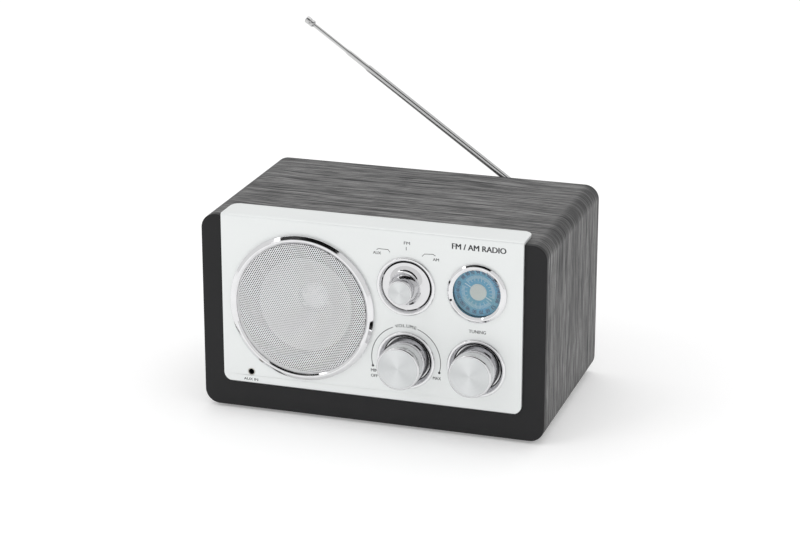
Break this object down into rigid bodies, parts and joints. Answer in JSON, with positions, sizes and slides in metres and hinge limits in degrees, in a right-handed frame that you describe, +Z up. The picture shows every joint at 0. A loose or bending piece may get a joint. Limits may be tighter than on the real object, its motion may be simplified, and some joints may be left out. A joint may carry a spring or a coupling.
{
  "type": "tabletop radio",
  "caption": "Tabletop radio with a wood-wrapped cabinet, bent metal fascia, round speaker grille, turned knobs, a lit round tuning dial and a telescopic antenna.",
  "frame": {"origin": "middle of the whole radio's outline, on the surface that its feet stand on", "axes": "+Z up, +Y towards the back, +X to the right seen from the front"},
  "size_m": [0.215, 0.1578, 0.2162],
  "materials": {
    "wood_wrap": "open-grain charcoal veneer wrap",
    "black_plastic": "fine matt texture",
    "fascia_silver": "fine satin silver",
    "chrome": "polished",
    "knob_chrome": "polished",
    "spun_aluminium": "spun",
    "grille_metal": "perforated, satin silver",
    "black_steel": "black",
    "plated_steel": "zinc plated",
    "core_steel": "laminated, lacquered",
    "ferrite": "ground ferrite",
    "cone_paper": "pressed pulp",
    "cone_silver": "metallised dome",
    "copper": "enamelled winding",
    "surround_rubber": "moulded",
    "spider_cloth": "resin-dipped cloth",
    "foot_rubber": "moulded",
    "inner_plastic": "natural",
    "clear_lens": "clear acrylic window",
    "lamp_glass": "clear lamp",
    "brass": "turned",
    "board_green": "printed board",
    "lead_red": "insulated wire",
    "gear_nylon": "natural nylon",
    "dial_blue": "printed blue dial, lit from behind",
    "antenna_chrome": "bright tube"
  },
  "bodies": {
    "cabinet": {"cabinet_sleeve": "wood_wrap", "rubber_feet": "foot_rubber", "cabinet_screws": "black_steel", "rear_cover": "black_plastic", "front_baffle": "black_plastic", "fascia_plate": "fascia_silver", "speaker_trim_ring": "chrome", "speaker_grille": "grille_metal", "speaker_basket": "black_steel", "speaker_screws": "plated_steel", "speaker_top_plate": "plated_steel", "speaker_magnet": "ferrite", "speaker_yoke": "plated_steel", "volume_bezel": "chrome", "band_bezel": "chrome", "tuning_bezel": "chrome", "panel_nuts": "plated_steel", "volume_pot": "plated_steel", "band_switch": "inner_plastic", "dial_bezel": "chrome", "dial_lens": "clear_lens", "dial_lamps": "lamp_glass", "idler_pin": "plated_steel", "shaft_bushes": "brass", "gear_plate": "plated_steel", "gear_plate_posts": "brass", "tuning_capacitor": "inner_plastic", "aux_jack": "black_plastic", "mains_inlet": "black_plastic", "main_board": "board_green", "board_standoffs": "inner_plastic", "board_parts": "black_plastic", "ferrite_antenna": "ferrite", "transformer": "core_steel", "inner_leads": "lead_red"},
    "cone": {"speaker_cone": "cone_paper", "speaker_dust_cap": "cone_silver", "speaker_voice_coil": "copper", "speaker_surround": "surround_rubber", "speaker_spider": "spider_cloth"},
    "volume_control": {"volume_shaft": "brass", "volume_knob": "knob_chrome", "volume_knob_cap": "spun_aluminium"},
    "band_control": {"band_shaft": "brass", "band_knob": "knob_chrome", "band_knob_cap": "spun_aluminium"},
    "tuning_control": {"tuning_shaft": "brass", "tuning_knob": "knob_chrome", "tuning_knob_cap": "spun_aluminium", "tuning_pinion": "brass"},
    "idler": {"idler_gear": "gear_nylon"},
    "dial": {"dial_disc": "dial_blue", "dial_shaft": "plated_steel", "dial_gear": "gear_nylon"},
    "antenna_swivel": {"antenna_fork": "chrome", "antenna_elbow_pin": "plated_steel"},
    "antenna_base": {"antenna_base_tube": "antenna_chrome"},
    "antenna_middle": {"antenna_middle_tube": "antenna_chrome"},
    "antenna_rod": {"antenna_inner_rod": "antenna_chrome", "antenna_tip": "antenna_chrome"}
  },
  "joints": [
    {"name": "cone_travel", "type": "slide", "parent": "cabinet", "child": "cone", "axis": [0, 1, 0], "range_m": [-0.001, 0.001], "stiffness_N_per_m": 900, "deforming": ["speaker_surround", "speaker_spider"]},
    {"name": "volume_turn", "type": "hinge", "parent": "cabinet", "child": "volume_control", "pos_m": [0.0227, -0.0606, 0.0454], "axis": [0, 1, 0], "range_deg": [-120, 120]},
    {"name": "band_turn", "type": "hinge", "parent": "cabinet", "child": "band_control", "pos_m": [0.0227, -0.0606, 0.0918], "axis": [0, 1, 0], "range_deg": [-26, 26]},
    {"name": "tuning_turn", "type": "hinge", "parent": "cabinet", "child": "tuning_control", "pos_m": [0.06625, -0.0606, 0.0453], "axis": [0, 1, 0], "range_deg": [-240, 240]},
    {"name": "idler_turn", "type": "hinge", "parent": "cabinet", "child": "idler", "pos_m": [0.06625, -0.0606, 0.0627], "axis": [0, 1, 0], "range_deg": [-170, 170]},
    {"name": "dial_turn", "type": "hinge", "parent": "cabinet", "child": "dial", "pos_m": [0.06625, -0.0606, 0.0921], "axis": [0, 1, 0], "range_deg": [-90.5, 90.5]},
    {"name": "antenna_swing", "type": "hinge", "parent": "cabinet", "child": "antenna_swivel", "pos_m": [0.065, 0.0759, 0.1068], "axis": [0, 1, 0], "range_deg": [-35, 145]},
    {"name": "antenna_tilt", "type": "hinge", "parent": "antenna_swivel", "child": "antenna_base", "pos_m": [0.065, 0.0759, 0.1068], "axis": [-0.575, 0, -0.8181], "range_deg": [0, 90]},
    {"name": "antenna_middle_slide", "type": "slide", "parent": "antenna_base", "child": "antenna_middle", "axis": [-0.8181, 0, 0.575], "range_m": [-0.0165, 0.092]},
    {"name": "antenna_rod_slide", "type": "slide", "parent": "antenna_middle", "child": "antenna_rod", "axis": [-0.8181, 0, 0.575], "range_m": [-0.0265, 0.076]}
  ],
  "couplings": [
    {"joint": "idler_turn", "follows": "tuning_turn", "ratio": -0.70588},
    {"joint": "dial_turn", "follows": "tuning_turn", "ratio": 0.375}
  ]
}
